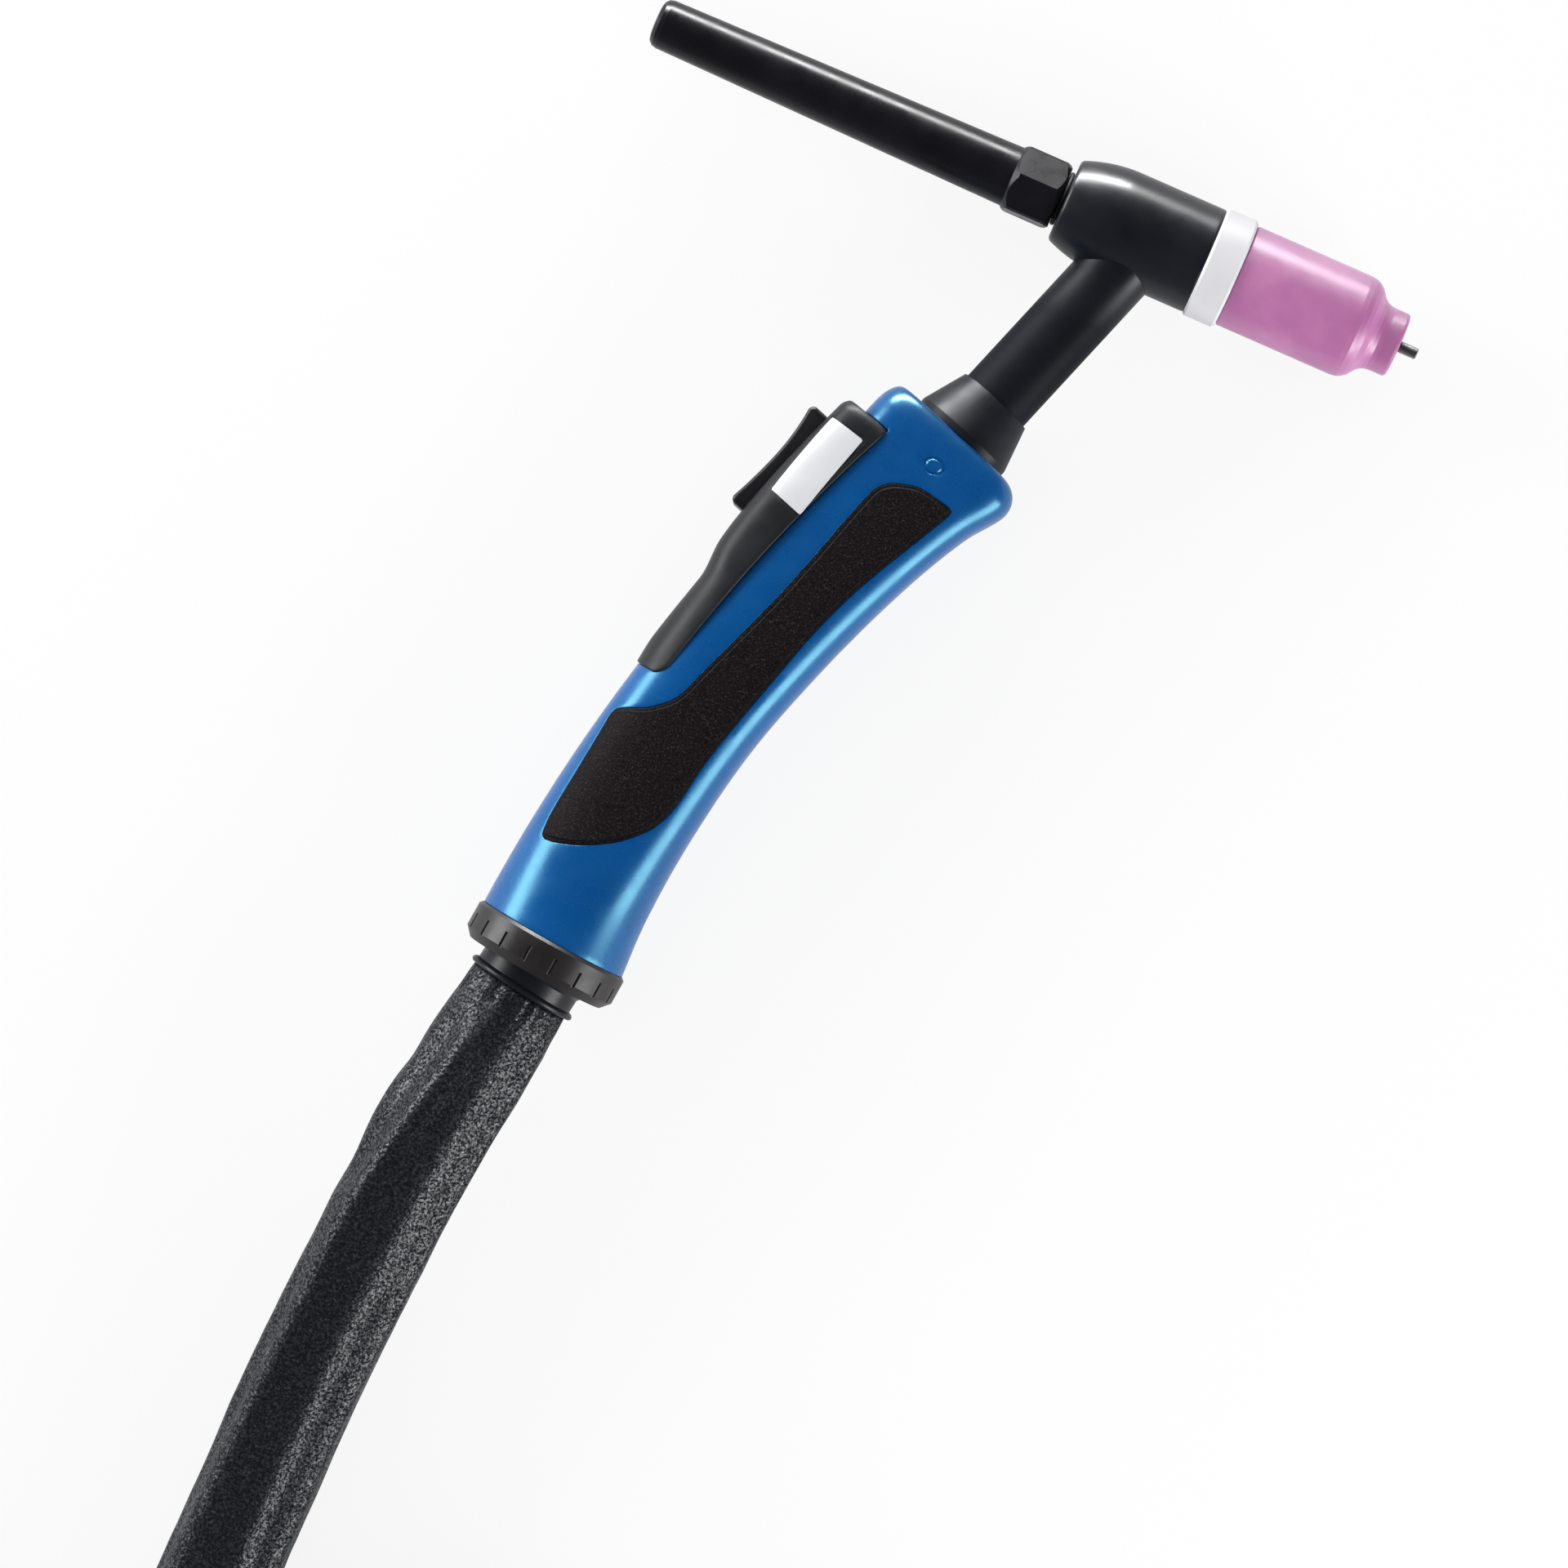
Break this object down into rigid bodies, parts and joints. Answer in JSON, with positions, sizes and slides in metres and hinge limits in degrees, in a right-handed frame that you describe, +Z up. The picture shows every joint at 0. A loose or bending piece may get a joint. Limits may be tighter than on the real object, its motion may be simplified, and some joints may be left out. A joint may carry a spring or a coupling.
{
  "type": "tig welding torch",
  "caption": "TIG welding torch: curved pistol grip with rocker switch, angled rubber head, ceramic nozzle, long back cap and a leather-sleeved cable on a ball joint, coiled to its plug",
  "frame": {"origin": "blunt tip of the tungsten electrode, the tool's working point", "axes": "+X along the electrode, out of the nozzle towards the work; +Z up from the bench the torch lies on; the grip runs towards -Y"},
  "size_m": [0.375, 0.7184, 0.048],
  "materials": {
    "tungsten": "ground tungsten, satin",
    "copper": "drawn copper alloy",
    "pink_ceramic": "fired alumina, smooth and faintly glossy",
    "white_insulator": "white heat-resistant insulator",
    "brass": "machined",
    "black_rubber": "moulded, matte to satin",
    "black_plastic": "moulded, satin",
    "seal_rubber": "smooth",
    "blue_plastic": "moulded, semi-gloss",
    "steel": "plated",
    "soft_inlay": "fine-textured soft moulding",
    "label_foil": "blank pale plate",
    "switch_plastic": "moulded",
    "plunger_plastic": "moulded",
    "board": "coated board",
    "lead_jacket": "extruded",
    "cable_jacket": "extruded, matte",
    "collar_plastic": "moulded, grooved",
    "liner_plastic": "low-friction plastic",
    "leather": "grained black leather",
    "strap": "woven strap"
  },
  "bodies": {
    "torch": {"collet": "copper", "collet_body": "copper", "gas_nozzle": "pink_ceramic", "insulator_ring": "white_insulator", "head_core": "brass", "head_cover": "black_rubber", "neck_tube": "copper", "neck_socket": "black_plastic", "shell_upper": "blue_plastic", "shell_lower": "blue_plastic", "shell_screws": "steel", "inlay_upper": "soft_inlay", "inlay_lower": "soft_inlay", "module_housing": "black_plastic", "label_upper": "label_foil", "label_lower": "label_foil", "rocker_pin": "steel", "switch_front": "switch_plastic", "switch_rear": "switch_plastic", "switch_board": "board", "control_lead": "lead_jacket", "cable_ferrule": "copper", "power_cable": "cable_jacket", "cable_saddle": "black_plastic", "rear_collar": "collar_plastic", "leather_sleeve": "leather", "sleeve_end_ring": "black_rubber", "cable_run": "cable_jacket", "cable_coil": "cable_jacket", "cable_tail": "cable_jacket", "coil_ties": "strap", "connector_boot": "black_rubber", "connector_housing": "black_plastic", "plug_body": "black_plastic", "power_pin": "brass", "contact_pins": "brass"},
    "electrode": {"electrode": "tungsten"},
    "cap_ring": {"cap_o_ring": "seal_rubber"},
    "back_cap": {"back_cap": "black_plastic"},
    "rocker": {"rocker": "black_plastic"},
    "plunger_front": {"plunger_front": "plunger_plastic"},
    "plunger_rear": {"plunger_rear": "plunger_plastic"},
    "ball_liner": {"ball_liner": "liner_plastic"},
    "ball_outlet": {"ball_outlet": "black_plastic", "sleeve_cuff": "leather"},
    "union_nut": {"union_nut": "black_plastic"}
  },
  "joints": [
    {"name": "electrode_slide", "type": "slide", "parent": "torch", "child": "electrode", "axis": [1, 0, 0], "range_m": [-0.0058, 0.02]},
    {"name": "cap_slide", "type": "slide", "parent": "torch", "child": "cap_ring", "axis": [-1, 0, 0], "range_m": [0, 0.012]},
    {"name": "cap_turn", "type": "hinge", "parent": "cap_ring", "child": "back_cap", "pos_m": [-0.1084, 0, 0], "axis": [-1, 0, 0], "range_deg": [0, 2881]},
    {"name": "rocker_tilt", "type": "hinge", "parent": "torch", "child": "rocker", "pos_m": [-0.14517, -0.10018, 0.0028], "axis": [0, 0.028, 0.9996], "range_deg": [-5, 5], "stiffness_Nm_per_rad": 0.25},
    {"name": "plunger_front_press", "type": "slide", "parent": "torch", "child": "plunger_front", "axis": [-0.9455, 0.3254, -0.0091], "range_m": [-0.001, 0.001]},
    {"name": "plunger_rear_press", "type": "slide", "parent": "torch", "child": "plunger_rear", "axis": [-0.9455, 0.3254, -0.0091], "range_m": [-0.001, 0.001]},
    {"name": "ball_swing", "type": "hinge", "parent": "torch", "child": "ball_liner", "pos_m": [-0.15468, -0.2455, 0.00687], "axis": [0, 0.028, 0.9996], "range_deg": [-7.5, 14.5], "deforming": ["sleeve_cuff", "leather_sleeve"]},
    {"name": "ball_tilt", "type": "hinge", "parent": "ball_liner", "child": "ball_outlet", "pos_m": [-0.15468, -0.2455, 0.00687], "axis": [-0.9877, 0.1564, -0.0044], "range_deg": [-11, 11], "deforming": ["sleeve_cuff", "leather_sleeve"]},
    {"name": "union_nut_turn", "type": "hinge", "parent": "torch", "child": "union_nut", "pos_m": [0.12, -0.44, 0.008], "axis": [0, 1, 0], "continuous": true}
  ],
  "couplings": [
    {"joint": "cap_turn", "follows": "cap_slide", "rad_per_m": 4188.8},
    {"joint": "plunger_front_press", "follows": "rocker_tilt", "m_per_rad": 0.011},
    {"joint": "plunger_rear_press", "follows": "rocker_tilt", "m_per_rad": -0.011}
  ]
}
